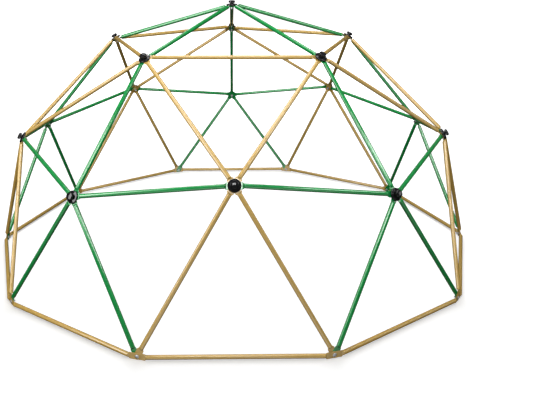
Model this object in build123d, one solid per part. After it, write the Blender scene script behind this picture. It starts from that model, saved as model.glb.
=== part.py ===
from build123d import *
from dataclasses import dataclass, field
import math
import os

# A geodesic dome climber: half of a two-frequency icosahedral sphere, made of 65 steel tubes
# whose flattened ends are stacked and bolted at 26 joints.
# Millimetres, +Z up. The origin is on the ground under the top joint, and -Y is the front.

# ---- overall sizes
dome_radius = 1830.0  # sphere centre to the middle of each joint's stack of tube ends

# ---- tubes
tube_diameter = 28.0
tube_wall = 1.2
bend_clearance = 1.0  # from where neighbouring flat ends stop overlapping to their bends
flare_length = 11.0  # over which the flat end opens into the round tube
paint_gap = 0.1  # between two flat ends of one stack
pinch_gap = 0.2  # slit left inside the tube where its walls meet
pinch_setback = 2.0  # from the bend to where that slit begins
bolt_hole_clearance = 0.5  # on the diameter

# ---- bolts, nuts and washers
bolt_diameter = 8.0
thread_clearance = 0.1  # on the diameter, between the shank and the nut
hex_across_flats = 13.0
hex_head_height = 5.3
joint_bolt_length = 35.0
base_bolt_length = 25.0
dome_head_diameter = 17.0
dome_head_height = 5.0
washer_diameter = 24.0
washer_thickness = 2.0
nut_hex_height = 6.5
nut_height = 16.5
nut_dome_radius = 6.25
nut_bore_depth = 13.2

# ---- joint discs: the plastic spools that cover the joints above the ground
disc_diameter = 80.0
disc_rim_height = 9.0
disc_rim_radius = 3.0
disc_cone_height = 14.0  # from the tubes to where the cone meets the neck
neck_diameter = 30.0
neck_height = 31.0  # from the tubes to the neck's top
recess_clearance = 1.6  # around the bolt head's corners
recess_floor = 8.0  # from the tubes to the bolt head's seat

# ---- joint caps: the domed lids that snap over the necks
cap_diameter = 47.0
cap_skirt_bottom = 20.0  # from the tubes
cap_shoulder = 34.5  # from the tubes to where the dome begins
cap_height = 38.0  # from the tubes to the dome's top
cap_edge_radius = 1.5
cap_shoulder_radius = 3.0
cap_roof = 3.5
cap_ledge = 2.5  # how far the cap's seat reaches in over the neck's top
snap_clearance = 0.15  # between the neck and the cap's bore

# ---- what follows from them
flat_thickness = 2 * tube_wall
flat_width = math.pi * (tube_diameter - 2 * tube_wall) / 2 + 2 * tube_wall
layer_pitch = flat_thickness + paint_gap
hole_radius = (bolt_diameter + bolt_hole_clearance) / 2
hex_across_corners = hex_across_flats / math.cos(math.radians(30))
# The two closest tubes at a six-way joint leave it at this angle to each other.
closest_tubes = math.atan((1 + math.sqrt(5)) / 2)
# From the bolt's axis to the bend in the flattened end.
flat_length = flat_width / 2 / math.sin(closest_tubes / 2) + bend_clearance
# The flat ends of the ground tubes stand on edge, so their lower edges are what touches the ground.
sphere_centre = Vector(0, 0, flat_width / 2)

FIVE = range(5)
TEN = range(10)
FIFTH = 360 / 5
TENTH = 360 / 10
BACK = 90  # azimuth of the back, from +X towards +Y
CORNER_ELEVATION = math.degrees(math.atan(0.5))  # of an icosahedron's corners
FLAT_GROUND = 1e-6  # how little a joint's bolt may lean and still count as upright


# ---- the skeleton: joints and the tubes between them


@dataclass
class Joint:
    """A place where tube ends are stacked on one bolt."""

    outward: Vector
    tubes: list = field(default_factory=list)
    on_ground: bool = False

    @property
    def centre(self):
        return sphere_centre + self.outward * dome_radius

    @property
    def stack(self):
        """Thickness of the whole stack of flat ends."""
        return (len(self.tubes) - 1) * layer_pitch + flat_thickness

    def plane(self, height):
        """The joint's tangent plane, moved out along its bolt by a height."""
        return Plane(origin=self.centre + self.outward * height, z_dir=self.outward)

    def towards(self, other):
        """Direction in the tangent plane along which a tube leaves for another joint."""
        along = other.outward - self.outward * self.outward.dot(other.outward)
        return along.normalized()

    def bearing(self, other):
        """Angle around the bolt at which that tube leaves, anticlockwise from uphill, seen from outside."""
        # At the top joint every way is downhill, and the back stands in for uphill.
        summit = on_sphere(0, BACK) if self.outward.Z > 1 - FLAT_GROUND else Vector(0, 0, 1)
        uphill = (summit - self.outward * self.outward.dot(summit)).normalized()
        leftward = self.outward.cross(uphill)
        along = self.towards(other)
        angle = math.degrees(math.atan2(along.dot(leftward), along.dot(uphill)))
        return round(angle) % 360


@dataclass
class Tube:
    """A tube from one joint to another, and the layer that each of its ends takes."""

    name: str
    start: Joint
    end: Joint
    start_layer: int = 0
    end_layer: int = 0

    def other(self, joint):
        return self.end if joint is self.start else self.start

    def set_layer(self, joint, layer):
        if joint is self.start:
            self.start_layer = layer
        else:
            self.end_layer = layer


def on_sphere(elevation, azimuth):
    """Unit vector at an elevation and an azimuth, in degrees."""
    up = math.radians(elevation)
    around = math.radians(azimuth)
    return Vector(
        math.cos(up) * math.cos(around),
        math.cos(up) * math.sin(around),
        math.sin(up),
    )


def between(first, second):
    """The middle of an icosahedron's edge, thrown out onto the sphere."""
    return (first + second).normalized()


top = Vector(0, 0, 1)
corners = [on_sphere(CORNER_ELEVATION, BACK + FIFTH * k) for k in FIVE]
top_joint = Joint(top)
upper_joints = [Joint(between(top, corner)) for corner in corners]
# Around the middle ring, five-way joints on the corners alternate with six-way joints.
middle_joints = []
for k in FIVE:
    middle_joints.append(Joint(corners[k]))
    middle_joints.append(Joint(between(corners[k], corners[(k + 1) % 5])))
ground_joints = [Joint(on_sphere(0, BACK + TENTH * (k - 0.5)), on_ground=True) for k in TEN]
dome_joints = [top_joint, *upper_joints, *middle_joints]


def skeleton():
    """Every tube of the dome, listed from the top down."""
    tubes = []
    for k in FIVE:
        tubes.append(Tube(f"crown_tube_{k + 1}", top_joint, upper_joints[k]))
        tubes.append(Tube(f"upper_ring_tube_{k + 1}", upper_joints[k], upper_joints[(k + 1) % 5]))
        tubes.append(Tube(f"upper_rib_tube_{k + 1}", upper_joints[k], middle_joints[2 * k]))
        for side in (-1, 1):
            six_way = middle_joints[(2 * k + side) % 10]
            tubes.append(Tube(f"upper_brace_pair_{k + 1}", upper_joints[k], six_way))
    for k in TEN:
        tubes.append(Tube(f"middle_ring_tube_{k + 1}", middle_joints[k], middle_joints[(k + 1) % 10]))
        for side in (0, 1):
            foot = ground_joints[(k + side) % 10]
            tubes.append(Tube(f"leg_pair_{k + 1}", middle_joints[k], foot))
        tubes.append(Tube(f"ground_tube_{k + 1}", ground_joints[k], ground_joints[(k + 1) % 10]))
    return tubes


def stack_tube_ends(tubes):
    """Give each tube end its layer in its joint's stack, where layer 0 is the innermost."""
    for tube in tubes:
        tube.start.tubes.append(tube)
        tube.end.tubes.append(tube)
    for joint in dome_joints:
        by_bearing = sorted(joint.tubes, key=lambda tube: joint.bearing(tube.other(joint)))
        for layer, tube in enumerate(by_bearing):
            tube.set_layer(joint, layer)
    for index, joint in enumerate(ground_joints):
        for tube in joint.tubes:
            if tube.other(joint).on_ground:
                # Every other ground tube has both its ends outermost.
                number = int(tube.name.rsplit("_", 1)[1])
                tube.set_layer(joint, 2 + number % 2)
            else:
                # The leg that leans clockwise, seen from above, is the innermost.
                clockwise = tube.other(joint) is middle_joints[(index - 1) % 10]
                tube.set_layer(joint, 0 if clockwise else 1)


# ---- tubes with flattened, bent and drilled ends


@dataclass
class TubeEnd:
    """Where one end of a tube lies flat on its joint, and where it bends."""

    centre: Vector  # on the bolt's axis, in the middle of the flat end's thickness
    outward: Vector
    along: Vector  # out from the bolt, in the flat end's plane
    bend: Vector

    @classmethod
    def of(cls, joint, other, layer):
        height = (layer - (len(joint.tubes) - 1) / 2) * layer_pitch
        centre = joint.centre + joint.outward * height
        along = joint.towards(other)
        return cls(centre, joint.outward, along, centre + along * flat_length)


def flat_section(plane, width, thickness):
    """Four-sided outline of a flattened tube, with its width along the plane's X."""
    x = width / 2
    y = thickness / 2
    points = [plane.from_local_coords(p) for p in ((-x, y, 0), (x, y, 0), (x, -y, 0), (-x, -y, 0))]
    return Wire.make_polygon(points, close=True)


def round_section(plane, radius):
    """Circle in four arcs, which match the sides of the flat section."""
    # The flat's two narrow sides open into arcs with their share of the outline's length.
    side = math.pi / 2 * flat_thickness / (flat_width + flat_thickness)
    x = radius * math.cos(side)
    y = radius * math.sin(side)
    corner = [plane.from_local_coords(p) for p in ((-x, y, 0), (x, y, 0), (x, -y, 0), (-x, -y, 0))]
    middle = [
        plane.from_local_coords(p)
        for p in ((0, radius, 0), (radius, 0, 0), (0, -radius, 0), (-radius, 0, 0))
    ]
    arcs = [Edge.make_three_point_arc(corner[i], middle[i], corner[(i + 1) % 4]) for i in range(4)]
    return Wire(arcs)


def flat_end(end, axis):
    """Rounded flat end with its bolt hole, mitred where the tube bends onto its axis."""
    half_bend = math.radians(end.along.get_angle(axis)) / 2
    mitre = flat_thickness / 2 * math.tan(half_bend)
    side_plane = Plane(
        origin=end.centre,
        x_dir=end.along,
        z_dir=end.along.cross(end.outward),
    )
    y = flat_thickness / 2
    outline = Polyline(
        (0, -y),
        (flat_length - mitre, -y),
        (flat_length + mitre, y),
        (0, y),
        close=True,
    )
    strip = extrude(side_plane * make_face(outline), amount=flat_width / 2, both=True)
    bolt_plane = Plane(origin=end.centre, z_dir=end.outward)
    nose = bolt_plane * Cylinder(flat_width / 2, flat_thickness)
    hole = bolt_plane * Cylinder(hole_radius, 2 * flat_thickness)
    return strip + nose - hole


def make_tube(tube):
    """One hollow tube, straight between its two bends, with a sealed space inside."""
    first = TubeEnd.of(tube.start, tube.end, tube.start_layer)
    last = TubeEnd.of(tube.end, tube.start, tube.end_layer)
    axis = (last.bend - first.bend).normalized()
    width_dir = first.along.cross(first.outward).normalized()
    radius = tube_diameter / 2

    def across(origin, normal):
        return Plane(origin=origin, x_dir=width_dir, z_dir=normal)

    def mitred(end, towards):
        """Flat outline on the plane that halves the bend."""
        normal = (end.along + towards).normalized()
        half_bend = math.radians(end.along.get_angle(towards)) / 2
        plane = across(end.bend, normal if towards is axis else -normal)
        return flat_section(plane, flat_width, flat_thickness / math.cos(half_bend))

    first_round = across(first.bend + axis * flare_length, axis)
    last_round = across(last.bend - axis * flare_length, axis)
    outside = Solid.make_loft(
        [
            mitred(first, axis),
            round_section(first_round, radius),
            round_section(last_round, radius),
            mitred(last, -axis),
        ],
        ruled=True,
    )
    slit_width = flat_width - 2 * tube_wall
    first_slit = across(first.bend + axis * pinch_setback, axis)
    last_slit = across(last.bend - axis * pinch_setback, axis)
    inside = Solid.make_loft(
        [
            flat_section(first_slit, slit_width, pinch_gap),
            round_section(first_round, radius - tube_wall),
            round_section(last_round, radius - tube_wall),
            flat_section(last_slit, slit_width, pinch_gap),
        ],
        ruled=True,
    )
    return outside + flat_end(first, axis) + flat_end(last, -axis) - inside


# ---- what holds a joint together, each piece with its seat at z = 0 and +Z out of the dome


def turned(*points, rounded=()):
    """Solid of revolution about Z from its half outline, with some corners rounded."""
    outline = make_face(Polyline(*points, close=True))
    for corner, radius in rounded:
        outline = fillet(outline.vertices().sort_by_distance(corner)[0], radius)
    return revolve(Plane.XZ * outline, axis=Axis.Z)


def joint_disc():
    """Flange, cone and neck in one, with a recess for the bolt's head."""
    rim = disc_diameter / 2
    neck = neck_diameter / 2
    recess = hex_across_corners / 2 + recess_clearance
    return turned(
        (hole_radius, 0),
        (rim, 0),
        (rim, disc_rim_height),
        (neck, disc_cone_height),
        (neck, neck_height),
        (recess, neck_height),
        (recess, recess_floor),
        (hole_radius, recess_floor),
        rounded=[((rim, 0), disc_rim_radius / 2), ((rim, disc_rim_height), disc_rim_radius)],
    )


def joint_cap():
    """Domed lid whose bore snaps over the neck and whose ledge sits on the neck's top."""
    rim = cap_diameter / 2
    bore = neck_diameter / 2 + snap_clearance
    hollow = neck_diameter / 2 - cap_ledge
    rise = cap_height - cap_shoulder
    dome_radius_of_cap = (rim**2 + rise**2) / (2 * rise)
    half_rim = rim / 2
    # A point of the dome's arc halfway out from the axis.
    half_height = cap_height - dome_radius_of_cap + math.sqrt(dome_radius_of_cap**2 - half_rim**2)
    roof = cap_height - cap_roof
    outline = [
        ThreePointArc((0, cap_height), (half_rim, half_height), (rim, cap_shoulder)),
        Polyline(
            (rim, cap_shoulder),
            (rim, cap_skirt_bottom),
            (bore, cap_skirt_bottom),
            (bore, neck_height),
            (hollow, neck_height),
            (hollow / 2, roof),
            (0, roof),
            (0, cap_height),
        ),
    ]
    face = make_face(Curve() + outline)
    for corner, radius in (
        ((rim, cap_shoulder), cap_shoulder_radius),
        ((rim, cap_skirt_bottom), cap_edge_radius),
    ):
        face = fillet(face.vertices().sort_by_distance(corner)[0], radius)
    return revolve(Plane.XZ * face, axis=Axis.Z)


def hexagon_prism(height):
    """Hexagonal bar whose corners are turned down to its across-corners circle."""
    bar = extrude(RegularPolygon(hex_across_corners / 2, 6), height)
    chamfer_depth = (hex_across_corners - hex_across_flats) / 2
    turned_bar = Cylinder(hex_across_corners / 2, height, align=(Align.CENTER, Align.CENTER, Align.MIN))
    top_edge = turned_bar.edges().group_by(Axis.Z)[-1]
    return bar & chamfer(top_edge, chamfer_depth / 2, chamfer_depth)


def shank(length):
    """Bolt shank that hangs down from the head's seat."""
    return Cylinder(
        bolt_diameter / 2,
        length,
        align=(Align.CENTER, Align.CENTER, Align.MAX),
    )


def joint_bolt():
    """Hexagon-headed bolt, hidden under the joint's cap."""
    return hexagon_prism(hex_head_height) + shank(joint_bolt_length)


def base_bolt():
    """Bolt with a smooth domed head, for the joints on the ground."""
    radius = dome_head_diameter / 2
    sphere_radius = (radius**2 + dome_head_height**2) / (2 * dome_head_height)
    ball = Pos(0, 0, dome_head_height - sphere_radius) * Sphere(sphere_radius)
    above = Box(
        dome_head_diameter,
        dome_head_diameter,
        dome_head_height,
        align=(Align.CENTER, Align.CENTER, Align.MIN),
    )
    return (ball & above) + shank(base_bolt_length)


def washer():
    """Flat washer, lying on z = 0."""
    low = (Align.CENTER, Align.CENTER, Align.MIN)
    plate = Cylinder(washer_diameter / 2, washer_thickness, align=low)
    return plate - Cylinder(hole_radius, washer_thickness, align=low)


def cap_nut():
    """Domed nut with a blind bore that opens at z = 0."""
    low = (Align.CENTER, Align.CENTER, Align.MIN)
    straight = nut_height - nut_dome_radius
    barrel = Cylinder(nut_dome_radius, straight, align=low)
    dome = Pos(0, 0, straight) * Sphere(nut_dome_radius)
    bore = Cylinder((bolt_diameter + thread_clearance) / 2, nut_bore_depth, align=low)
    return hexagon_prism(nut_hex_height) + barrel + dome - bore


def inward(joint, depth):
    """Plane on a joint's bolt axis at a depth below the stack, facing the dome's inside."""
    height = -joint.stack / 2 - depth
    return Plane(origin=joint.centre + joint.outward * height, z_dir=-joint.outward)


# ---- the whole dome


def dome():
    """Every node's solids, by the node's name."""
    nodes = {}

    def add(name, solid):
        nodes.setdefault(name, []).append(solid)

    tubes = skeleton()
    stack_tube_ends(tubes)
    for tube in tubes:
        add(tube.name, make_tube(tube))

    disc = joint_disc()
    cap = joint_cap()
    hex_bolt = joint_bolt()
    domed_bolt = base_bolt()
    ring = washer()
    nut = cap_nut()
    tiers = {"top": [top_joint], "upper": upper_joints, "middle": middle_joints}
    for tier, joints in tiers.items():
        for joint in joints:
            seat = joint.stack / 2
            add(f"{tier}_joint_disc", joint.plane(seat) * disc)
            add(f"{tier}_joint_cap", joint.plane(seat) * cap)
            add("joint_bolt", joint.plane(seat + recess_floor) * hex_bolt)
    for joint in ground_joints:
        outer_face = joint.stack / 2
        add("washer", joint.plane(outer_face) * ring)
        add("base_bolt", joint.plane(outer_face + washer_thickness) * domed_bolt)
    for joint in (*dome_joints, *ground_joints):
        add("washer", inward(joint, 0) * ring)
        add("cap_nut", inward(joint, washer_thickness) * nut)
    return nodes


def write_parts(nodes):
    """One STEP file for each node."""
    os.makedirs("parts", exist_ok=True)
    for name, shapes in nodes.items():
        solids = [solid for shape in shapes for solid in shape.solids()]
        node = solids[0] if len(solids) == 1 else Compound(children=solids)
        node.label = name
        export_step(node, f"parts/{name}.step")
        print(f"{name}: {len(solids)} solids, {sum(s.volume for s in solids) / 1000:.1f} cm3")


write_parts(dome())
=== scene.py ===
"""The finished dome climber: painted tubes, covered joints and bright bolts, in a plain studio.

Every length is in metres and every place is in the part's own frame. The skeleton is worked out
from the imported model's boxes, so each finished piece lies where its plain counterpart does.
"""

import logging
import math
from collections.abc import Callable, Iterator
from dataclasses import dataclass, field
from enum import Enum

import bpy
from bpy.types import Collection, Material, Mesh, Node, NodeSocket, Object
from mathutils import Matrix, Vector


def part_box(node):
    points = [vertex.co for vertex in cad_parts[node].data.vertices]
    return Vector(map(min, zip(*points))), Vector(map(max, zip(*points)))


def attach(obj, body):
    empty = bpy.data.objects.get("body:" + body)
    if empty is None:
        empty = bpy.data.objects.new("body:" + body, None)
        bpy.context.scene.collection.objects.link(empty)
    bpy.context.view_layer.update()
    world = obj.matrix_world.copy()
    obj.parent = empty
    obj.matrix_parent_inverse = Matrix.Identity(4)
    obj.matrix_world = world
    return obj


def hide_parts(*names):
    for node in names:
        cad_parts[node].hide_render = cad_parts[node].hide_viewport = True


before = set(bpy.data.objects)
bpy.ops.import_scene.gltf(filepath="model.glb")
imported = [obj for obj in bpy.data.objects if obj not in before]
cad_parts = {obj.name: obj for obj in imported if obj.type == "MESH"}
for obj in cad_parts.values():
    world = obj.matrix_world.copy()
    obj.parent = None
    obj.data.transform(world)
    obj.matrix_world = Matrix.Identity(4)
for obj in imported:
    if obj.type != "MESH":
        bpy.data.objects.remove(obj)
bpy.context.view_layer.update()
log = logging.getLogger("dome_climber")

MM = 0.001
BODY = "root"
BACK = math.radians(90)  # azimuth of the back, from +X towards +Y
SECTORS = 5  # like parts of the dome about its axis
STRAIGHT_UP = 0.999  # upward part of a direction past which it counts as upright
Outline = list[tuple[float, float]]
Colour = tuple[float, float, float]
Span = tuple[float, float]  # where something starts, and over how much it grows


class Slot(Enum):
    """The finishes' material slots."""

    GOLD = "gold_paint"
    GREEN = "green_paint"
    BLACK = "black_plastic"
    ZINC = "zinc_plate"


# ---- arithmetic inside node trees


class Number:
    """A number inside a node tree, which adds and multiplies as Python's own numbers do."""

    def __init__(self, tree: bpy.types.NodeTree, socket: NodeSocket) -> None:
        """Wraps one of the tree's output sockets."""
        self.tree = tree
        self.socket = socket

    def maths(self, operation: str, *others: "Number | float") -> "Number":
        """Result of a maths node.

        Args:
            operation: the node's operation, such as "ADD".
            others: the second and third numbers, where the operation takes them.

        Returns:
            The node's output as a number.
        """
        node = self.tree.nodes.new("ShaderNodeMath")
        node.operation = operation
        for entry, value in zip(node.inputs, (self, *others)):
            if isinstance(value, Number):
                self.tree.links.new(value.socket, entry)
            else:
                entry.default_value = value
        return Number(self.tree, node.outputs[0])

    def __add__(self, other: "Number | float") -> "Number":
        """Sum of the two."""
        return self.maths("ADD", other)

    def __sub__(self, other: "Number | float") -> "Number":
        """The other taken away."""
        return self.maths("SUBTRACT", other)

    def __mul__(self, other: "Number | float") -> "Number":
        """Product of the two."""
        return self.maths("MULTIPLY", other)

    def __truediv__(self, other: "Number | float") -> "Number":
        """This one divided by the other."""
        return self.maths("DIVIDE", other)

    def __rsub__(self, other: float) -> "Number":
        """This one taken from a plain number."""
        return self * -1.0 + other

    def __neg__(self) -> "Number":
        """The number with its sign turned."""
        return self * -1.0

    __radd__ = __add__
    __rmul__ = __mul__

    def sine(self) -> "Number":
        """Sine of an angle in radians."""
        return self.maths("SINE")

    def cosine(self) -> "Number":
        """Cosine of an angle in radians."""
        return self.maths("COSINE")

    def size(self) -> "Number":
        """The number without its sign."""
        return self.maths("ABSOLUTE")

    def share(self, start: float, length: float) -> "Number":
        """How far this number is from a start over a length, held between 0 and 1.

        Args:
            start: where the share is 0.
            length: how far on the share is 1.

        Returns:
            The share.
        """
        part = (self - start) / length
        part.socket.node.use_clamp = True
        return part

    def eased(self) -> "Number":
        """A share that sets off and arrives gently."""
        return self * self * (3.0 - 2.0 * self)


@dataclass
class NodeTree:
    """A node tree being built."""

    tree: bpy.types.NodeTree

    def add(self, kind: str, entries: dict | None = None, **settings: object) -> Node:
        """A new node.

        Args:
            kind: the node's type.
            entries: what goes into its inputs, by their names or numbers.
            settings: its properties.

        Returns:
            The node.
        """
        node = self.tree.nodes.new(kind)
        for name, value in settings.items():
            setattr(node, name, value)
        self.fill(node, entries or {})
        return node

    def out(self, kind: str, entries: dict | None = None, **settings: object) -> NodeSocket:
        """The first output of a new node."""
        return self.add(kind, entries, **settings).outputs[0]

    def fill(self, node: Node, entries: dict[str | int, object]) -> None:
        """Joins or sets a node's inputs, given by their names or numbers."""
        for entry, source in entries.items():
            self.link(source, node.inputs[entry])

    def link(self, source: object, entry: NodeSocket) -> None:
        """Joins a number or a socket to an input, or sets the input to a plain value.

        Args:
            source: the number, socket or value.
            entry: the input.
        """
        if isinstance(source, Number):
            source = source.socket
        if isinstance(source, NodeSocket):
            self.tree.links.new(source, entry)
        else:
            entry.default_value = source

    def vector(self, x: "Number | float", y: "Number | float", z: "Number | float") -> NodeSocket:
        """A vector from three numbers."""
        return self.out("ShaderNodeCombineXYZ", {"X": x, "Y": y, "Z": z})

    def number(self, socket: NodeSocket) -> Number:
        """One of the tree's sockets as a number."""
        return Number(self.tree, socket)


class ShapeTree(NodeTree):
    """A Geometry Nodes tree with named inputs."""

    KINDS = {
        float: "NodeSocketFloat",
        Object: "NodeSocketObject",
        Material: "NodeSocketMaterial",
    }

    def __init__(self, name: str, inputs: dict[str, type]) -> None:
        """Makes the tree, its interface and its two end nodes.

        Args:
            name: the tree's name.
            inputs: each named input's Python type.
        """
        super().__init__(bpy.data.node_groups.new(name, "GeometryNodeTree"))
        face = self.tree.interface
        face.new_socket("Geometry", in_out="INPUT", socket_type="NodeSocketGeometry")
        self.identifiers = {
            title: face.new_socket(title, in_out="INPUT", socket_type=self.KINDS[kind]).identifier
            for title, kind in inputs.items()
        }
        face.new_socket("Geometry", in_out="OUTPUT", socket_type="NodeSocketGeometry")
        self.entry = self.add("NodeGroupInput").outputs
        self.exit = self.add("NodeGroupOutput").inputs

    def given(self, title: str) -> Number:
        """One of the named inputs as a number."""
        return self.number(self.entry[title])

    def end(self, geometry: NodeSocket) -> None:
        """Ends the tree in Realize Instances and Set Material.

        Args:
            geometry: what the tree has made.
        """
        realised = self.out("GeometryNodeRealizeInstances", {"Geometry": geometry})
        entries = {"Geometry": realised, "Material": self.entry["Material"]}
        self.link(self.out("GeometryNodeSetMaterial", entries), self.exit[0])

    def run(self, base: Mesh, values: dict[str, object]) -> Mesh:
        """Runs the tree on a mesh and keeps the result as a plain mesh.

        Args:
            base: the mesh that the tree starts from.
            values: a value for each named input.

        Returns:
            A new mesh that no longer depends on the tree.
        """
        carrier = bpy.data.objects.new("carrier", base)
        bpy.context.scene.collection.objects.link(carrier)
        modifier = carrier.modifiers.new("shape", "NODES")
        modifier.node_group = self.tree
        for title, value in values.items():
            modifier[self.identifiers[title]] = value
        evaluated = carrier.evaluated_get(bpy.context.evaluated_depsgraph_get())
        result = bpy.data.meshes.new_from_object(evaluated)
        bpy.data.objects.remove(carrier)
        return result


# ---- finishes


@dataclass(frozen=True)
class Grain:
    """Noise on the object's own coordinates, and the span of its heights that counts."""

    per_metre: float
    octaves: float = 2.0
    span: Span | None = None

    def height(self, kit: NodeTree) -> Number:
        """The noise's height, or its share of the span where there is one.

        Args:
            kit: the material's tree.

        Returns:
            The height or the share.
        """
        place = kit.add("ShaderNodeTexCoord").outputs["Object"]
        entries = {"Vector": place, "Scale": self.per_metre, "Detail": self.octaves}
        height = kit.number(kit.add("ShaderNodeTexNoise", entries).outputs["Fac"])
        return height.share(*self.span) if self.span else height


@dataclass(frozen=True)
class Finish:
    """What every finish shares: a material slot and one Principled shader."""

    slot: Slot
    colour: Colour
    roughness: float

    def start(self) -> tuple[Material, NodeTree, Node]:
        """A new material, its tree and its Principled shader.

        Returns:
            The three of them.
        """
        material = bpy.data.materials.new(self.slot.value + "_finish")
        material.use_nodes = True
        material.diffuse_color = (*self.colour, 1.0)
        kit = NodeTree(material.node_tree)
        shader = material.node_tree.nodes["Principled BSDF"]
        kit.fill(shader, {"Base Color": (*self.colour, 1.0), "Roughness": self.roughness})
        return material, kit, shader

    @staticmethod
    def tint(kit: NodeTree, amount: Number, low: object, high: Colour) -> NodeSocket:
        """A colour between two, by an amount from 0 to 1.

        Args:
            kit: the material's tree.
            amount: 0 for the low colour, 1 for the high one.
            low: a colour, or a socket that gives one.
            high: a colour.

        Returns:
            The mixed colour's socket.
        """
        ends = [(*colour, 1.0) if isinstance(colour, tuple) else colour for colour in (low, high)]
        entries = {0: amount, 6: ends[0], 7: ends[1]}
        return kit.add("ShaderNodeMix", entries, data_type="RGBA", clamp_factor=True).outputs[2]

    @staticmethod
    def bump(kit: NodeTree, height: Number, depth: float, shader: Node) -> None:
        """Raises the surface by a height from 0 to 1, over a depth in metres."""
        raised = kit.out("ShaderNodeBump", {"Strength": 1.0, "Distance": depth, "Height": height})
        kit.fill(shader, {"Normal": raised, "Coat Normal": raised})


@dataclass(frozen=True)
class MetallicPaint(Finish):
    """Flake paint under a clear coat, with a slight orange-peel skin and worn fold edges."""

    deep: Colour  # where flakes and clouds are at their darkest
    coat_index: float  # of refraction, which sets how strongly the coat mirrors
    coat_roughness: float
    worn: Colour = (0.45, 0.45, 0.43)
    metallic: float = 0.14
    base_specular: float = 0.15
    flakes: Grain = Grain(1600.0, 0.0)
    clouds: Grain = Grain(7.0)
    deepening: Span = (0.30, 0.40)
    scuffs: Grain = Grain(90.0, 4.0, (0.56, 0.10))
    scuff_cover: float = 0.55
    scuff_roughness: float = 0.2
    handling: Grain = Grain(18.0, 5.0, (0.45, 0.30))
    handling_roughness: float = 0.06
    flake_roughness: float = 0.10
    peel: Grain = Grain(260.0, 1.0)
    peel_depth: float = 0.05 * MM

    def material(self) -> Material:
        """The paint as a material.

        Returns:
            The material.
        """
        material, kit, shader = self.start()
        flakes = self.flakes.height(kit)
        lively = self.clouds.height(kit) * 0.5 + flakes * 0.5
        paint = self.tint(kit, lively.share(*self.deepening), self.deep, self.colour)
        edge = kit.number(kit.add("ShaderNodeAttribute", attribute_name="edge").outputs["Fac"])
        scuffs = edge * self.scuffs.height(kit)
        roughness = self.roughness + self.handling.height(kit) * self.handling_roughness
        roughness = roughness + (flakes - 0.5) * self.flake_roughness + scuffs * self.scuff_roughness
        kit.fill(shader, {
            "Base Color": self.tint(kit, scuffs * self.scuff_cover, paint, self.worn),
            "Roughness": roughness,
            "Metallic": self.metallic,
            "Specular IOR Level": self.base_specular,
            "Coat Weight": 1.0,
            "Coat Roughness": self.coat_roughness,
            "Coat IOR": self.coat_index,
        })
        self.bump(kit, self.peel.height(kit), self.peel_depth, shader)
        return material


@dataclass(frozen=True)
class MouldedPlastic(Finish):
    """Polished injection moulding with a faint grain and fine handling marks."""

    specular: float = 0.55
    dust: Grain = Grain(35.0, 5.0, (0.50, 0.35))
    dust_lift: float = 0.012  # how much paler a dusty patch is
    smears: Grain = Grain(55.0, 4.0, (0.40, 0.35))
    smear_roughness: float = 0.10
    moulding: Grain = Grain(900.0, 2.0)
    moulding_depth: float = 0.003 * MM

    def material(self) -> Material:
        """The plastic as a material.

        Returns:
            The material.
        """
        material, kit, shader = self.start()
        pale = tuple(channel + self.dust_lift for channel in self.colour)
        kit.fill(shader, {
            "Base Color": self.tint(kit, self.dust.height(kit), self.colour, pale),
            "Roughness": self.roughness + self.smears.height(kit) * self.smear_roughness,
            "Specular IOR Level": self.specular,
        })
        self.bump(kit, self.moulding.height(kit), self.moulding_depth, shader)
        return material


@dataclass(frozen=True)
class ZincPlate(Finish):
    """Bright zinc on steel, with the plating's soft cloudiness and fine turning marks."""

    clouds: Grain = Grain(120.0, 4.0, (0.35, 0.30))
    cloud_dark: float = 0.72  # brightness of the darkest cloud
    cloud_roughness: float = 0.14
    turning: Grain = Grain(1400.0, 1.0)
    turning_depth: float = 0.01 * MM

    def material(self) -> Material:
        """The plating as a material.

        Returns:
            The material.
        """
        material, kit, shader = self.start()
        cloud = self.clouds.height(kit)
        dull = tuple(channel * self.cloud_dark for channel in self.colour)
        kit.fill(shader, {
            "Base Color": self.tint(kit, cloud, dull, self.colour),
            "Roughness": self.roughness + cloud * self.cloud_roughness,
            "Metallic": 1.0,
        })
        self.bump(kit, self.turning.height(kit), self.turning_depth, shader)
        return material


Palette = dict[Slot, Material]


def mixed_palette() -> Palette:
    """Every finish of the climber, made into a material once.

    Returns:
        The materials by their slots.
    """
    gold = MetallicPaint(Slot.GOLD, (0.60, 0.39, 0.098), 0.45, (0.52, 0.32, 0.060), 1.85, 0.24)
    green = MetallicPaint(Slot.GREEN, (0.002, 0.33, 0.070), 0.35, (0.001, 0.25, 0.040), 1.80, 0.09)
    black = MouldedPlastic(Slot.BLACK, (0.006, 0.006, 0.007), 0.07)
    zinc = ZincPlate(Slot.ZINC, (0.66, 0.67, 0.69), 0.24)
    return {finish.slot: finish.material() for finish in (gold, green, black, zinc)}


# ---- the dome's skeleton


@dataclass(eq=False)
class Joint:
    """A place where tube ends are stacked on one bolt."""

    outward: Vector
    centre: Vector
    on_ground: bool = False
    neighbours: list["Joint"] = field(default_factory=list)

    def towards(self, other: "Joint") -> Vector:
        """Direction in the joint's tangent plane along which a tube leaves for another."""
        along = other.outward - self.outward * self.outward.dot(other.outward)
        return along.normalized()

    def bearing(self, other: "Joint") -> int:
        """Degrees at which that tube leaves, anticlockwise from uphill as seen from outside.

        Uphill at the top joint is towards the back.

        Args:
            other: the joint that the tube goes to.

        Returns:
            The angle, a whole number from 0 to 359.
        """
        upright = self.outward.z > STRAIGHT_UP
        summit = Vector((math.cos(BACK), math.sin(BACK), 0)) if upright else Vector((0, 0, 1))
        uphill = (summit - self.outward * self.outward.dot(summit)).normalized()
        leftward = self.outward.cross(uphill)
        along = self.towards(other)
        return round(math.degrees(math.atan2(along.dot(leftward), along.dot(uphill)))) % 360


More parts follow.
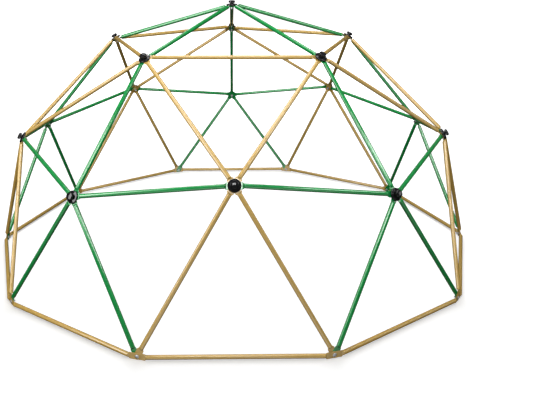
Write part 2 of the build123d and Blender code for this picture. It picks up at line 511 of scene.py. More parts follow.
@dataclass
class Run:
    """One tube's run between two joints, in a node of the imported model."""

    node: str
    slot: Slot
    start: Joint
    end: Joint
    layers: tuple[int, int] = (0, 0)


@dataclass
class Skeleton:
    """Joints and runs of a two-frequency geodesic hemisphere.

    The flat ends' width and the sphere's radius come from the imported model: the ground tubes'
    flat ends stand on edge, and the top disc sits on the top joint's stack.
    """

    flat_thickness: float = 2.4 * MM
    layer_pitch: float = 2.5 * MM
    runs: list[Run] = field(default_factory=list)

    def __post_init__(self) -> None:
        """Places the joints and lists the runs from the top down."""
        self.flat_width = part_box("ground_tube_1")[1].z
        self.centre = Vector((0, 0, self.flat_width / 2))
        top_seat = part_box("top_joint_disc")[0].z
        self.radius = top_seat - self.centre.z - self.stack_of(SECTORS) / 2
        corner_height = math.atan(0.5)
        fifth = math.radians(360 / SECTORS)
        summit = Vector((0, 0, 1))
        corners = [self.on_sphere(corner_height, BACK + fifth * k) for k in range(SECTORS)]
        self.top = self.joint(summit)
        self.upper = [self.joint(summit + corner) for corner in corners]
        self.middle = []
        for k, corner in enumerate(corners):
            self.middle += [self.joint(corner), self.joint(corner + corners[(k + 1) % SECTORS])]
        feet = [self.on_sphere(0, BACK + fifth / 2 * (k - 0.5)) for k in range(2 * SECTORS)]
        self.ground = [self.joint(foot, on_ground=True) for foot in feet]
        self.list_runs()
        self.stack_ends()

    @staticmethod
    def on_sphere(height: float, azimuth: float) -> Vector:
        """Unit vector at a height angle and an azimuth, in radians."""
        level = math.cos(height)
        return Vector((level * math.cos(azimuth), level * math.sin(azimuth), math.sin(height)))

    def joint(self, direction: Vector, on_ground: bool = False) -> Joint:
        """A joint on the sphere in a direction from its centre."""
        outward = direction.normalized()
        return Joint(outward, self.centre + outward * self.radius, on_ground)

    def stack_of(self, count: int) -> float:
        """Thickness of a stack of so many flat ends."""
        return (count - 1) * self.layer_pitch + self.flat_thickness

    def stack(self, joint: Joint) -> float:
        """Thickness of a joint's stack."""
        return self.stack_of(len(joint.neighbours))

    @property
    def covered(self) -> list[Joint]:
        """The joints above the ground."""
        return [self.top, *self.upper, *self.middle]

    def add(self, node: str, slot: Slot, start: Joint, end: Joint) -> None:
        """Lists a run and makes its joints neighbours.

        Args:
            node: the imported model's node.
            slot: the paint's slot.
            start: the tube's first joint.
            end: its second joint.
        """
        self.runs.append(Run(node, slot, start, end))
        start.neighbours.append(end)
        end.neighbours.append(start)

    def list_runs(self) -> None:
        """Lists every tube: short ones are green and long ones are gold."""
        for k, upper in enumerate(self.upper):
            number = k + 1
            self.add(f"crown_tube_{number}", Slot.GREEN, self.top, upper)
            self.add(f"upper_ring_tube_{number}", Slot.GOLD, upper, self.upper[number % SECTORS])
            self.add(f"upper_rib_tube_{number}", Slot.GREEN, upper, self.middle[2 * k])
            for side in (-1, 1):
                self.add(f"upper_brace_pair_{number}", Slot.GOLD, upper, self.middle[2 * k + side])
        for k, middle in enumerate(self.middle):
            number = k + 1
            after = number % len(self.middle)
            legs = Slot.GOLD if k % 2 else Slot.GREEN
            self.add(f"middle_ring_tube_{number}", Slot.GREEN, middle, self.middle[after])
            for foot in (k, after):
                self.add(f"leg_pair_{number}", legs, middle, self.ground[foot])
            self.add(f"ground_tube_{number}", Slot.GOLD, self.ground[k], self.ground[after])

    def stack_ends(self) -> None:
        """Gives each run's two ends their layers, where layer 0 is the innermost."""
        for run in self.runs:
            run.layers = (self.layer(run.start, run.end, run), self.layer(run.end, run.start, run))

    def layer(self, joint: Joint, other: Joint, run: Run) -> int:
        """The layer that a run's end takes in a joint's stack.

        On the ground the two legs lie innermost, and the ground tubes lie over them.

        Args:
            joint: where the stack is.
            other: the run's far joint.
            run: the run itself.

        Returns:
            The layer, counted outwards from 0.
        """
        if not joint.on_ground:
            return sorted(joint.bearing(n) for n in joint.neighbours).index(joint.bearing(other))
        if other.on_ground:
            return 2 + int(run.node.rsplit("_", 1)[1]) % 2
        return 0 if other is self.middle[self.ground.index(joint) - 1] else 1


# ---- the tubes


@dataclass
class BentTube:
    """A round tube whose ends are pressed flat, rounded, drilled and bent onto their joints."""

    skeleton: Skeleton
    palette: Palette
    tube_radius: float = 14.0 * MM
    wall: float = 1.2 * MM
    flare_length: float = 11.0 * MM
    bend_radius: float = 10.0 * MM
    bend_clearance: float = 1.0 * MM
    hole_radius: float = 4.25 * MM
    groove: float = 0.35  # how deep the line between the two walls is cut in the nose's rim
    groove_span: Span = (0.95, 0.05)  # of the rim's closeness to its middle
    weld: float = 0.02 * MM  # distance within which points become one
    drill_sides: int = 32
    drill_depth: float = 6.0  # in walls
    crease: float = math.radians(50)  # angle past which an edge stays sharp
    # Rings of points along each stretch of one half, and columns over each fold and each face.
    nose_rings: int = 7
    flat_rings: int = 3
    bend_rings: int = 6
    flare_rings: int = 16
    fold_columns: int = 8
    face_columns: int = 20

    def __post_init__(self) -> None:
        """Works out the flat ends' length and builds the tree that shapes every tube."""
        closest_tubes = math.atan((1 + math.sqrt(5)) / 2)
        self.flat_length = self.skeleton.flat_width / 2 / math.sin(closest_tubes / 2) + self.bend_clearance
        self.tree = self.shape_tree()

    def shape_tree(self) -> ShapeTree:
        """Tree that turns a grid of points into a tube between two bends.

        The tube's axis runs along X from the first bend at 0 to the second at Span, and Z is
        outwards. A grid's rows become the rings and its columns go round the tube.

        Returns:
            The tree.
        """
        changing = dict.fromkeys(("Span", "First bend", "Second bend", *self.shared_sizes()), float)
        shape = ShapeTree("flattened_tube", {**changing, "Material": Material})
        half = self.nose_rings + self.flat_rings + self.bend_rings + self.flare_rings
        columns = 2 * (self.fold_columns + self.face_columns)
        grid = shape.out("GeometryNodeMeshGrid", {"Vertices X": 2 * half + 2, "Vertices Y": columns + 1})
        index = shape.number(shape.out("GeometryNodeInputIndex"))
        row = ((index + 0.5) / (columns + 1)).maths("FLOOR")
        column = index - row * (columns + 1)
        second_half = row.maths("GREATER_THAN", half + 0.5)
        from_end = row.maths("MINIMUM", (2.0 * half + 1.0) - row)

        place, tilt, (across, height), fold = self.end_shape(shape, from_end, column, second_half)
        x = place[0] - height * tilt.sine()
        z = place[1] + height * tilt.cosine()
        x = x + second_half * (shape.given("Span") - 2.0 * x)
        entries = {"Geometry": grid, "Position": shape.vector(x, across, z)}
        moved = shape.out("GeometryNodeSetPosition", entries)
        entries = {"Geometry": moved, "Name": "edge", "Value": fold}
        marked = shape.out("GeometryNodeStoreNamedAttribute", entries, data_type="FLOAT", domain="POINT")
        welded = shape.out("GeometryNodeMergeByDistance", {"Geometry": marked, "Distance": self.weld})
        shape.end(self.shaded(shape, self.drilled(shape, welded)))
        return shape

    def shared_sizes(self) -> dict[str, float]:
        """The tree's inputs that are the same for every tube."""
        names = ("tube_radius", "wall", "flat_length", "flare_length", "bend_radius", "hole_radius", "groove")
        return {name.replace("_", " ").capitalize(): getattr(self, name) for name in names}

    @staticmethod
    def stretches(place: Number, *counts: int) -> list[Number]:
        """Shares of a place along stretches that follow one another."""
        return [place.share(sum(counts[:k]), count) for k, count in enumerate(counts)]

    def end_shape(
        self, shape: ShapeTree, ring: Number, column: Number, second_half: Number
    ) -> tuple[tuple[Number, Number], Number, tuple[Number, Number], Number]:
        """Where a point of one end lies.

        Args:
            shape: the tree.
            ring: the point's ring, counted from the nose.
            column: the point's column around the tube.
            second_half: 1 in the half that belongs to the second end.

        Returns:
            The ring's centre as (x, z), the tilt of its section, the point's place across and up
            in that section, and how near it is to a pressed fold.
        """
        bend = shape.given("First bend")
        bend = bend + second_half * (shape.given("Second bend") - bend)
        wall, radius = shape.given("Wall"), shape.given("Tube radius")
        nose, flat, bent, flare = self.stretches(
            ring, self.nose_rings, self.flat_rings, self.bend_rings, self.flare_rings
        )
        nose_angle = (1.0 - nose) * (math.pi / 2)

        folds, faces = self.fold_columns, self.face_columns
        fold_a, face_a, fold_b, face_b = self.stretches(column, folds, faces, folds, faces)
        turn = (fold_a + fold_b) * math.pi - math.pi / 2
        face_half = (radius - wall) * (math.pi / 2)
        cut = turn.cosine().size().share(*self.groove_span) * nose_angle.sine() * shape.given("Groove")
        rim = wall * turn.cosine() * (1.0 - cut)
        reach = face_half * (1.0 - 2.0 * face_a + 2.0 * face_b)
        flat_across = (reach + rim) * nose_angle.cosine()
        flat_height = wall * turn.sine()

        fold_share = wall / (face_half * 2.0 + wall * math.pi) * math.pi  # of half the outline
        fold_arc = fold_share * math.pi
        angle = fold_arc * (fold_a + fold_b) + (math.pi - fold_arc) * (face_a + face_b) - fold_arc * 0.5
        opened = flare.eased()
        across = flat_across + (radius * angle.cosine() - flat_across) * opened
        height = flat_height + (radius * angle.sine() - flat_height) * opened

        arc_radius = shape.given("Bend radius")
        tangent = arc_radius * (bend * 0.5).maths("TANGENT")
        tilt = bend * (1.0 - bent)
        back = (shape.given("Flat length") - tangent) * (1.0 - flat)
        back = back + (face_half + rim.size()) * nose_angle.sine()
        x = tangent - arc_radius * tilt.sine() - back * bend.cosine() + flare * shape.given("Flare length")
        z = arc_radius * (tilt.cosine() - 1.0) - back * bend.sine()
        return (x, z), tilt, (across, height), turn.cosine().size() * (1.0 - opened)

    def drilled(self, shape: ShapeTree, geometry: NodeSocket) -> NodeSocket:
        """Geometry with a bolt hole through each flat end.

        Args:
            shape: the tree.
            geometry: the closed tube.

        Returns:
            The drilled tube.
        """
        arc_radius, flat = shape.given("Bend radius"), shape.given("Flat length")
        kind = {"operation": "DIFFERENCE", "solver": "MANIFOLD"}
        cut = shape.add("GeometryNodeMeshBoolean", {"Mesh 1": geometry}, **kind)
        for title, mirrored in (("First bend", False), ("Second bend", True)):
            bend = shape.given(title)
            back = flat - arc_radius * (bend * 0.5).maths("TANGENT")
            x = arc_radius * ((bend * 0.5).maths("TANGENT") - bend.sine()) - back * bend.cosine()
            z = arc_radius * (bend.cosine() - 1.0) - back * bend.sine()
            drill = shape.out("GeometryNodeMeshCylinder", {
                "Vertices": self.drill_sides,
                "Radius": shape.given("Hole radius"),
                "Depth": shape.given("Wall") * self.drill_depth,
            })
            placed = shape.out("GeometryNodeTransform", {
                "Geometry": drill,
                "Translation": shape.vector(shape.given("Span") - x if mirrored else x, 0.0, z),
                "Rotation": shape.vector(0.0, bend if mirrored else -bend, 0.0),
            })
            shape.link(placed, cut.inputs["Mesh 2"])
        return cut.outputs["Mesh"]

    def shaded(self, shape: ShapeTree, geometry: NodeSocket) -> NodeSocket:
        """Geometry shaded smooth, except over its sharp edges.

        Args:
            shape: the tree.
            geometry: the drilled tube.

        Returns:
            The shaded tube.
        """
        smooth = shape.out("GeometryNodeSetShadeSmooth", {"Geometry": geometry}, domain="FACE")
        angle = shape.number(shape.out("GeometryNodeInputMeshEdgeAngle"))
        sharp = angle.maths("GREATER_THAN", self.crease)
        entries = {"Geometry": smooth, "Selection": sharp, "Shade Smooth": False}
        return shape.out("GeometryNodeSetShadeSmooth", entries, domain="EDGE")

    def mesh(self, run: Run) -> Mesh:
        """One tube's finished mesh, in its place on the dome.

        Args:
            run: the tube's run between two joints.

        Returns:
            The mesh, in the part's frame.
        """
        ends = []
        for joint, other, layer in ((run.start, run.end, run.layers[0]), (run.end, run.start, run.layers[1])):
            height = (layer - (len(joint.neighbours) - 1) / 2) * self.skeleton.layer_pitch
            along = joint.towards(other)
            ends.append((joint.centre + joint.outward * height + along * self.flat_length, along))
        (first, first_along), (second, second_along) = ends
        axis = (second - first).normalized()
        outward = (run.start.outward + run.end.outward).normalized()
        outward = (outward - axis * outward.dot(axis)).normalized()
        side = outward.cross(axis)
        values = self.shared_sizes() | {
            "Span": (second - first).length,
            "First bend": first_along.angle(axis),
            "Second bend": second_along.angle(-axis),
            "Material": self.palette[run.slot],
        }
        mesh = self.tree.run(bpy.data.meshes.new("blank"), values)
        place = Matrix((axis, side, outward)).transposed().to_4x4()
        place.translation = first
        mesh.transform(place)
        return mesh

    def build(self) -> Iterator[Object]:
        """Every tube node's finished piece.

        Yields:
            One object for each node, of one tube or two.
        """
        by_node: dict[str, list[Run]] = {}
        for run in self.skeleton.runs:
            by_node.setdefault(run.node, []).append(run)
        for node, runs in by_node.items():
            yield settled(joined([self.mesh(run) for run in runs], node), runs[0].slot, node)


# ---- turned pieces: discs, caps, bolts, washers and nuts


def rounded(corners: list[tuple[float, float, float]], steps: int = 6) -> Outline:
    """Outline with arcs in place of its corners.

    Args:
        corners: each corner's radius from the axis, its height and its rounding radius.
        steps: pieces in each arc.

    Returns:
        The outline's points, in the corners' order.
    """
    points: Outline = []
    for k, (r, z, radius) in enumerate(corners):
        here = Vector((r, z))
        if radius == 0:
            points.append((r, z))
            continue
        back = (Vector(corners[k - 1][:2]) - here).normalized()
        on = (Vector(corners[(k + 1) % len(corners)][:2]) - here).normalized()
        half = back.angle(on) / 2
        centre = here + (back + on).normalized() * (radius / math.sin(half))
        start = here + back * (radius / math.tan(half)) - centre
        finish = here + on * (radius / math.tan(half)) - centre
        sweep = start.angle_signed(finish)
        for step in range(steps + 1):
            turned = Matrix.Rotation(-sweep * step / steps, 2) @ start
            points.append(tuple(centre + turned))
    return points


def arc(centre: tuple[float, float], radius: float, start: float, finish: float, steps: int) -> Outline:
    """Points on an arc from one angle to another, in degrees from the outline's r axis."""
    angles = [math.radians(start + (finish - start) * step / steps) for step in range(steps + 1)]
    return [(centre[0] + radius * math.cos(a), centre[1] + radius * math.sin(a)) for a in angles]


Ring = Callable[[float], tuple[float, float]]
ON_AXIS = 1e-7  # radius below which a ring is one point
CREASE = math.radians(40)  # angle past which a turned piece's edge stays sharp


def ring_at(r: float, z: float) -> Ring:
    """A plain round ring."""
    return lambda angle: (r, z)


def lathe(name: str, rings: list[Ring], closed: bool, steps: int = 64) -> Mesh:
    """Mesh of rings about Z, joined one to the next.

    Args:
        name: the mesh's name.
        rings: from the bottom's middle outwards and up, each giving its radius and height.
        closed: whether the last ring joins the first, as round a bore.
        steps: points in a ring.

    Returns:
        The mesh, whose first and last rings close on the axis where they aren't joined.
    """
    points: list[tuple[float, float, float]] = []
    rows: list[list[int]] = []
    for ring in rings:
        if ring(0.0)[0] < ON_AXIS:
            points.append((0.0, 0.0, ring(0.0)[1]))
            rows.append([len(points) - 1] * steps)
            continue
        rows.append(list(range(len(points), len(points) + steps)))
        for step in range(steps):
            angle = 2 * math.pi * step / steps
            r, z = ring(angle)
            points.append((r * math.cos(angle), r * math.sin(angle), z))
    faces = []
    pairs = list(zip(rows, rows[1:])) + ([(rows[-1], rows[0])] if closed else [])
    for low, high in pairs:
        for step in range(steps):
            after = (step + 1) % steps
            faces.append(tuple(dict.fromkeys((low[step], low[after], high[after], high[step]))))
    mesh = bpy.data.meshes.new(name)
    mesh.from_pydata(points, [], faces)
    mesh.shade_smooth()
    mesh.set_sharp_from_angle(angle=CREASE)
    return mesh


def plain(points: Outline) -> list[Ring]:
    """Round rings through an outline's points."""
    return [ring_at(r, z) for r, z in points]


@dataclass
class Hexagon:
    """Hexagonal head or nut with its corners turned down to a cone."""

    across_flats: float = 13.0 * MM
    cone_slope: float = math.tan(math.radians(30))
    face_share: float = 0.94  # the turned face's radius as a share of half the flats' distance
    edge: float = 0.2 * MM

    def radius(self, angle: float) -> float:
        """Distance from the axis to the hexagon's side at an angle."""
        sixth = math.pi / 3
        return self.across_flats / 2 / math.cos((angle + sixth / 2) % sixth - sixth / 2)

    def rings(self, low: float, high: float) -> list[Ring]:
        """Rings of the hexagon's sides and turned top.

        Args:
            low: height of the lower face.
            high: height of the upper face.

        Returns:
            The rings from the lower face's edge to the turned face's edge.
        """
        face = self.across_flats / 2 * self.face_share

        def turned_edge(angle: float) -> tuple[float, float]:
            """Where the cone meets the side."""
            side = self.radius(angle)
            return side, high - (side - face) * self.cone_slope

        return [
            lambda angle: (self.radius(angle) - self.edge, low),
            lambda angle: (self.radius(angle), low + self.edge),
            turned_edge,
            ring_at(face, high),
        ]


@dataclass
class Hardware:
    """Fasteners of the joints, each with its seat at Z = 0 and its head towards +Z."""

    bolt_radius: float = 4.0 * MM
    tip: float = 1.0 * MM
    head_height: float = 5.3 * MM
    joint_bolt_length: float = 35.0 * MM
    base_bolt_length: float = 25.0 * MM
    dome_radius: float = 8.5 * MM
    dome_height: float = 5.0 * MM
    dome_rim: float = 1.0 * MM
    dome_edge: float = 0.3 * MM
    washer_radius: float = 12.0 * MM
    washer_thickness: float = 2.0 * MM
    washer_edge: float = 0.35 * MM
    hole_radius: float = 4.25 * MM
    nut_bore: float = 4.05 * MM
    nut_hex_height: float = 6.5 * MM
    nut_barrel_radius: float = 6.25 * MM
    nut_height: float = 16.5 * MM
    nut_bore_depth: float = 13.2 * MM
    nut_chamfer: float = 0.6 * MM
    hexagon: Hexagon = field(default_factory=Hexagon)

    def shank(self, length: float) -> Outline:
        """Outline of a shank that hangs from the seat, with a turned point."""
        radius, tip = self.bolt_radius, self.tip
        return [(0.0, -length), (radius - tip, -length), (radius, tip - length), (radius, 0.0)]

    def joint_bolt(self) -> Mesh:
        """Hexagon-headed bolt.

        Returns:
            The mesh.
        """
        rings = plain(self.shank(self.joint_bolt_length))
        rings += self.hexagon.rings(0.0, self.head_height)
        rings += plain([(0.0, self.head_height)])
        return lathe("joint_bolt", rings, closed=False)

    def base_bolt(self) -> Mesh:
        """Bolt with a smooth domed head and a short upright rim.

        Returns:
            The mesh.
        """
        rise = self.dome_height - self.dome_rim
        sphere = (self.dome_radius**2 + rise**2) / (2 * rise)
        start = math.degrees(math.asin((sphere - rise) / sphere))
        dome = arc((0.0, self.dome_height - sphere), sphere, start, 90, 12)
        outline = self.shank(self.base_bolt_length)
        outline += [(self.dome_radius - self.dome_edge, 0.0), (self.dome_radius, self.dome_edge)]
        outline += [*dome[:-1], (0.0, self.dome_height)]
        return lathe("base_bolt", plain(outline), closed=False)

    def washer(self) -> Mesh:
        """Flat washer with slightly rounded edges.

        Returns:
            The mesh.
        """
        inner, outer = self.hole_radius, self.washer_radius
        top, edge = self.washer_thickness, self.washer_edge
        corners = [(inner, 0.0, edge / 2), (outer, 0.0, edge), (outer, top, edge), (inner, top, edge / 2)]
        return lathe("washer", plain(rounded(corners, steps=3)), closed=True)

    def cap_nut(self) -> Mesh:
        """Domed nut with a blind bore.

        Returns:
            The mesh.
        """
        straight = self.nut_height - self.nut_barrel_radius
        bore, chamfer = self.nut_bore, self.nut_chamfer
        rings = plain([(0.0, self.nut_bore_depth), (bore, self.nut_bore_depth)])
        rings += plain([(bore, chamfer), (bore + chamfer, 0.0)])
        rings += self.hexagon.rings(0.0, self.nut_hex_height)
        rings += plain([(self.nut_barrel_radius, self.nut_hex_height)])
        dome = arc((0.0, straight), self.nut_barrel_radius, 0, 90, 10)
        rings += plain([*dome[:-1], (0.0, self.nut_height)])
        return lathe("cap_nut", rings, closed=False)


@dataclass
class Covers:
    """The black plastic spool on each joint above the ground, its seat at Z = 0."""

    disc_radius: float = 40.0 * MM
    rim_height: float = 9.0 * MM
    cone_height: float = 14.0 * MM
    neck_radius: float = 15.0 * MM
    neck_height: float = 31.0 * MM
    recess_radius: float = 9.1 * MM
    recess_floor: float = 8.0 * MM
    hole_radius: float = 4.25 * MM
    cap_radius: float = 23.5 * MM
    skirt_bottom: float = 20.0 * MM
    shoulder: float = 34.5 * MM
    cap_height: float = 38.0 * MM
    snap_clearance: float = 0.15 * MM
    ledge: float = 2.5 * MM
    roof: float = 3.5 * MM
    gate_radius: float = 1.6 * MM
    gate_depth: float = 0.25 * MM
    gate_lip: float = 1.3  # radius at which the dimple starts, in gate radii
    gate_clear: float = 1.5  # radius within which the dome leaves room for it
    gate_fall: float = 0.05 * MM
    hole_edge: float = 0.2 * MM
    seat_edge: float = 1.5 * MM
    rim_edge: float = 3.0 * MM
    neck_edge: float = 0.8 * MM
    lip_edge: float = 0.4 * MM
    skirt_edge: float = 1.2 * MM
    shoulder_edge: float = 2.2 * MM
    shoulder_sweep: float = 2.4  # degrees of the dome taken up by the rounded shoulder
    steps: int = 96

    def disc(self) -> Mesh:
        """Flange, cone and neck in one, with the bolt head's recess.

        Returns:
            The mesh.
        """
        top, floor = self.neck_height, self.recess_floor
        corners = [
            (self.hole_radius, 0.0, self.hole_edge),
            (self.disc_radius, 0.0, self.seat_edge),
            (self.disc_radius, self.rim_height, self.rim_edge),
            (self.neck_radius, self.cone_height, self.rim_edge),
            (self.neck_radius, top, self.neck_edge),
            (self.recess_radius, top, self.neck_edge),
            (self.recess_radius, floor, self.neck_edge),
            (self.hole_radius, floor, self.hole_edge),
        ]
        return lathe("joint_disc", plain(rounded(corners)), closed=True, steps=self.steps)

    def cap(self) -> Mesh:
        """Domed lid with a moulding gate's shallow dimple on its crown.

        Returns:
            The mesh.
        """
        bore = self.neck_radius + self.snap_clearance
        hollow = self.neck_radius - self.ledge
        ceiling = self.cap_height - self.roof
        rise = self.cap_height - self.shoulder
        sphere = (self.cap_radius**2 + rise**2) / (2 * rise)
        centre = self.cap_height - sphere
        start = math.degrees(math.atan2(self.shoulder - centre, self.cap_radius)) + self.shoulder_sweep
        dome = arc((0.0, centre), sphere, start, 90, 20)
        crown = [(r, z) for r, z in dome if r > self.gate_clear * self.gate_radius]
        gate = self.cap_height - self.gate_depth
        inside = [(0.0, ceiling), (hollow / 2, ceiling), (hollow, self.neck_height), (bore, self.neck_height)]
        skirt = [
            (bore, self.skirt_bottom, self.lip_edge),
            (self.cap_radius, self.skirt_bottom, self.skirt_edge),
            (self.cap_radius, self.shoulder, self.shoulder_edge),
            (*dome[0], 0.0),
            (bore, self.neck_height, 0.0),
        ]
        lip = (self.gate_lip * self.gate_radius, self.cap_height - self.gate_fall)
        outline = [*inside, *rounded(skirt)[:-2], *crown, lip, (self.gate_radius, gate), (0.0, gate)]
        return lathe("joint_cap", plain(outline), closed=False, steps=self.steps)


@dataclass
class JointArray:
    """Puts copies of a turned piece on joints, each along its joint's bolt."""

    skeleton: Skeleton
    palette: Palette

    def __post_init__(self) -> None:
        """Builds the tree that places the copies."""
        self.tree = self.array_tree()

    def array_tree(self) -> ShapeTree:
        """Tree that stands a piece on every point, along the point's axis.

        Returns:
            The tree.
        """
        shape = ShapeTree("pieces_on_joints", {"Piece": Object, "Material": Material})
        entries = {"Object": shape.entry["Piece"]}
        piece = shape.add("GeometryNodeObjectInfo", entries, transform_space="ORIGINAL")
        axis = shape.out("GeometryNodeInputNamedAttribute", {"Name": "axis"}, data_type="FLOAT_VECTOR")
        spin = shape.out("GeometryNodeInputNamedAttribute", {"Name": "spin"}, data_type="FLOAT")
        upright = shape.out("FunctionNodeAlignRotationToVector", {"Vector": axis}, axis="Z")
        about = shape.out("FunctionNodeAxisAngleToRotation", {"Angle": spin})
        turned = shape.out("FunctionNodeRotateRotation", {0: upright, 1: about}, rotation_space="LOCAL")
        entries = {0: shape.entry["Geometry"], "Instance": piece.outputs["Geometry"], "Rotation": turned}
        shape.end(shape.out("GeometryNodeInstanceOnPoints", entries))
        return shape

    def points(self, places: list[tuple[Vector, Vector]], name: str) -> Mesh:
        """Mesh of loose points, each with its axis and a spin that no other point has.

        Args:
            places: each point and its axis.
            name: what the mesh's name starts with.

        Returns:
            The mesh.
        """
        mesh = bpy.data.meshes.new(name + "_points")
        mesh.from_pydata([place for place, _ in places], [], [])
        axes = mesh.attributes.new("axis", "FLOAT_VECTOR", "POINT")
        axes.data.foreach_set("vector", [value for _, axis in places for value in axis])
        spins = mesh.attributes.new("spin", "FLOAT", "POINT")
        golden = math.pi * (3 - math.sqrt(5))
        spins.data.foreach_set("value", [k * golden for k in range(len(places))])
        return mesh

    def build(self, piece: Mesh, places: list[tuple[Vector, Vector]], slot: Slot, node: str) -> Object:
        """One finished object of all the copies.

        Args:
            piece: the turned piece.
            places: each copy's seat and the direction of its +Z.
            slot: the finish's slot.
            node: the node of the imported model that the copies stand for.

        Returns:
            The finished object.
        """
        template = bpy.data.objects.new("template", piece)
        values = {"Piece": template, "Material": self.palette[slot]}
        mesh = self.tree.run(self.points(places, node), values)
        bpy.data.objects.remove(template)
        return settled(mesh, slot, node)

    def seats(self, joints: list[Joint], lift: float = 0.0, facing: int = 1) -> list[tuple[Vector, Vector]]:
        """Places on the joints' stacks.

        Args:
            joints: whose stacks they are.
            lift: how far each place is off the stack.
            facing: 1 for places on the outside that face out, -1 for the inside.

        Returns:
            Each place and its direction.
        """
        places = []
        for joint in joints:
            away = joint.outward * facing
            places.append((joint.centre + away * (self.skeleton.stack(joint) / 2 + lift), away))
        return places


# ---- putting pieces into the scene


def joined(meshes: list[Mesh], name: str) -> Mesh:
    """One mesh of several, which keeps their materials and attributes.

    Args:
        meshes: one or more.
        name: the whole's name.

    Returns:
        The only mesh, or all of them as one.
    """
    if len(meshes) == 1:
        return meshes[0]
    scene = bpy.context.scene
    objects = [bpy.data.objects.new(name, mesh) for mesh in meshes]
    for item in objects:
        scene.collection.objects.link(item)
    with bpy.context.temp_override(active_object=objects[0], selected_editable_objects=objects):
        bpy.ops.object.join()
    whole = objects[0].data
    bpy.data.objects.remove(objects[0])
    return whole


def settled(mesh: Mesh, slot: Slot, node: str) -> Object:
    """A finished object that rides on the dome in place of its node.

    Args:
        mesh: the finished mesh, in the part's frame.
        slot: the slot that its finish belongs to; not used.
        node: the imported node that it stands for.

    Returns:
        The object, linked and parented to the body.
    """
    piece = bpy.data.objects.new(f"{node}_finished", mesh)
    bpy.context.scene.collection.objects.link(piece)
    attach(piece, BODY)
    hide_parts(node)
    return piece


# ---- studio


@dataclass(frozen=True)
class Softbox:
    """An area lamp that looks at the dome from a direction.

    Angles are in degrees, with azimuths from +X towards +Y, and lengths in metres. The glow is
    the lamp's own brightness, whatever its size.
    """

    name: str
    azimuth: float
    elevation: float
    distance: float
    width: float
    height: float
    glow: float
    floor_only: bool = False

    def build(self, aim: Vector, floor_list: Collection) -> None:
        """Makes the lamp.

        Args:
            aim: the point that it looks at.
            floor_list: the collection that tells it to light only the floor, or all but the floor.
        """
        data = bpy.data.lights.new(self.name, "AREA")
        data.shape = "RECTANGLE"
        data.size, data.size_y = self.width, self.height
        data.energy = self.glow * math.pi * self.width * self.height
        lamp = bpy.data.objects.new(self.name, data)
        away = Skeleton.on_sphere(math.radians(self.elevation), math.radians(self.azimuth))
        lamp.location = aim + away * self.distance
        lamp.rotation_euler = away.to_track_quat("Z", "Y").to_euler()
        lamp.light_linking.receiver_collection = floor_list
        bpy.context.scene.collection.objects.link(lamp)


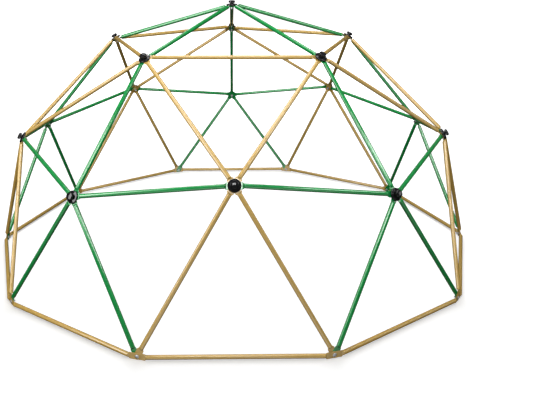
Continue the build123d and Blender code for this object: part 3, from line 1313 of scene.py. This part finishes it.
@dataclass
class Studio:
    """Pale floor, soft lights and the camera."""

    skeleton: Skeleton
    focal_length: float = 46.9  # millimetres on a 36 mm wide sensor
    eye: tuple[float, float, float] = (-0.0134, -2.894, 1.235)  # in dome radii, from the sphere's centre
    look_down: float = 15.8  # degrees
    roll: float = -0.48  # degrees
    shift: tuple[float, float] = (0.0746, -0.1028)
    aim_height: float = 0.9
    floor_radius: float = 90.0
    floor_grey: float = 0.8
    floor_glow: float = 0.42
    far_glow: float = 1.1
    glow_grows: Span = (3.5, 4.0)  # from this radius, over this length
    sky_rise: Span = (-0.3, 0.9)  # of a direction's height, over which the sky brightens
    sky_glow: float = 0.11
    front_spread: Span = (0.4, 0.5)  # how far to the front the pale floor starts to show
    low_spread: Span = (0.0, 0.3)  # and how far below the horizon
    front_glow: float = 1.7
    least_glow: float = 0.03
    softboxes: tuple[Softbox, ...] = (
        Softbox("key", -145, 24, 4.8, 1.8, 4.0, 6.0),
        Softbox("strip", -37, 36, 4.8, 2.4, 0.8, 10.0),
        Softbox("front", -92, 38, 6.5, 2.2, 1.4, 11.0),
        Softbox("overhead", -90, 82, 3.6, 2.6, 1.6, 5.0),
        Softbox("right", -15, 12, 6.5, 2.4, 1.6, 2.5),
        Softbox("rear", 120, 55, 6.5, 3.2, 1.8, 4.0),
        Softbox("floor_low", 90, 17, 14.0, 16.0, 3.0, 4.0, floor_only=True),
        Softbox("floor_mid", 90, 30, 14.0, 14.0, 4.0, 3.5, floor_only=True),
        Softbox("floor_high", 90, 50, 14.0, 14.0, 6.0, 2.0, floor_only=True),
        Softbox("floor_sky", 90, 88, 8.0, 14.0, 14.0, 1.1, floor_only=True),
    )

    def build(self) -> None:
        """Makes the camera, the floor, the sky and the lamps."""
        self.camera()
        ground = self.floor()
        self.sky()
        only, spared = self.floor_lists(ground)
        for softbox in self.softboxes:
            height, listed = (0.0, only) if softbox.floor_only else (self.aim_height, spared)
            softbox.build(Vector((0, 0, height)), listed)
        bpy.context.scene.view_settings.view_transform = "Standard"

    def camera(self) -> None:
        """Camera in front of the dome, a little above its top and looking slightly down."""
        data = bpy.data.cameras.new("camera")
        data.lens = self.focal_length
        data.shift_x, data.shift_y = self.shift
        eye = bpy.data.objects.new("camera", data)
        eye.location = self.skeleton.centre + Vector(self.eye) * self.skeleton.radius
        tilt = Matrix.Rotation(math.radians(90 - self.look_down), 3, "X")
        eye.rotation_euler = (tilt @ Matrix.Rotation(math.radians(self.roll), 3, "Z")).to_euler()
        bpy.context.scene.collection.objects.link(eye)
        bpy.context.scene.camera = eye

    def floor(self) -> Object:
        """Pale round floor that takes soft shadows and lends the tubes no glare from below.

        Returns:
            The floor.
        """
        rim = [Skeleton.on_sphere(0, math.radians(a)) * self.floor_radius for a in range(0, 360, 5)]
        mesh = bpy.data.meshes.new("floor")
        mesh.from_pydata(rim, [], [range(len(rim))])
        material = bpy.data.materials.new("pale_floor")
        material.use_nodes = True
        kit = NodeTree(material.node_tree)
        material.node_tree.nodes.clear()
        place = kit.add("ShaderNodeTexCoord").outputs["Object"]
        reach = kit.add("ShaderNodeVectorMath", {0: place}, operation="LENGTH").outputs["Value"]
        grown = kit.number(reach).share(*self.glow_grows).eased()
        strength = grown * (self.far_glow - self.floor_glow) + self.floor_glow
        glow = kit.out("ShaderNodeEmission", {"Strength": strength})
        matt = kit.out("ShaderNodeBsdfDiffuse", {"Color": (*[self.floor_grey] * 3, 1.0)})
        both = kit.out("ShaderNodeAddShader", {0: glow, 1: matt})
        kit.add("ShaderNodeOutputMaterial", {"Surface": both})
        mesh.materials.append(material)
        ground = bpy.data.objects.new("floor", mesh)
        ground.visible_glossy = False
        ground.visible_diffuse = False
        bpy.context.scene.collection.objects.link(ground)
        return ground

    @staticmethod
    def floor_lists(ground: Object) -> tuple[Collection, Collection]:
        """Collections for lamps that light only the floor, and for lamps that spare it.

        Args:
            ground: the floor.

        Returns:
            The two collections.
        """
        lists = []
        for name, state in (("floor_only", "INCLUDE"), ("floor_spared", "EXCLUDE")):
            collection = bpy.data.collections.new(name)
            collection.objects.link(ground)
            collection.collection_objects[0].light_linking.link_state = state
            lists.append(collection)
        return lists[0], lists[1]

    def sky(self) -> None:
        """Grey surroundings, with a pale floor in front, seen plain white by the camera."""
        world = bpy.data.worlds.new("studio")
        bpy.context.scene.world = world
        world.use_nodes = True
        kit = NodeTree(world.node_tree)
        world.node_tree.nodes.clear()
        direction = kit.add("ShaderNodeTexCoord").outputs["Generated"]
        parts = kit.add("ShaderNodeSeparateXYZ", {0: direction}).outputs
        height = kit.number(parts["Z"])
        in_front = (-kit.number(parts["Y"])).share(*self.front_spread).eased()
        below = (-height).share(*self.low_spread).eased()
        bright = height.share(*self.sky_rise).eased() * self.sky_glow
        bright = bright + in_front * below * self.front_glow + self.least_glow
        choice = kit.out("ShaderNodeMixShader", {
            0: kit.add("ShaderNodeLightPath").outputs["Is Camera Ray"],
            1: kit.out("ShaderNodeBackground", {"Strength": bright}),
            2: kit.out("ShaderNodeBackground", {"Color": (1.0, 1.0, 1.0, 1.0)}),
        })
        kit.add("ShaderNodeOutputWorld", {"Surface": choice})


def report(piece: Object) -> None:
    """Logs a finished piece's name and number of faces."""
    log.info("%s: %d faces", piece.name, len(piece.data.polygons))


def main() -> None:
    """Builds the finished climber and its studio."""
    logging.basicConfig(level=logging.INFO, format="%(name)s: %(message)s")
    skeleton = Skeleton()
    palette = mixed_palette()
    for piece in BentTube(skeleton, palette).build():
        report(piece)

    array = JointArray(skeleton, palette)
    covers = Covers()
    hardware = Hardware()
    tiers = {"top": [skeleton.top], "upper": skeleton.upper, "middle": skeleton.middle}
    for tier, joints in tiers.items():
        for name, mesh in (("disc", covers.disc()), ("cap", covers.cap())):
            report(array.build(mesh, array.seats(joints), Slot.BLACK, f"{tier}_joint_{name}"))
    everywhere = [*skeleton.covered, *skeleton.ground]
    washer = hardware.washer_thickness
    for mesh, seats, node in (
        (hardware.joint_bolt(), array.seats(skeleton.covered, covers.recess_floor), "joint_bolt"),
        (hardware.base_bolt(), array.seats(skeleton.ground, washer), "base_bolt"),
        (hardware.washer(), array.seats(skeleton.ground) + array.seats(everywhere, facing=-1), "washer"),
        (hardware.cap_nut(), array.seats(everywhere, washer, facing=-1), "cap_nut"),
    ):
        report(array.build(mesh, seats, Slot.ZINC, node))

    Studio(skeleton).build()


if __name__ == "__main__":
    main()
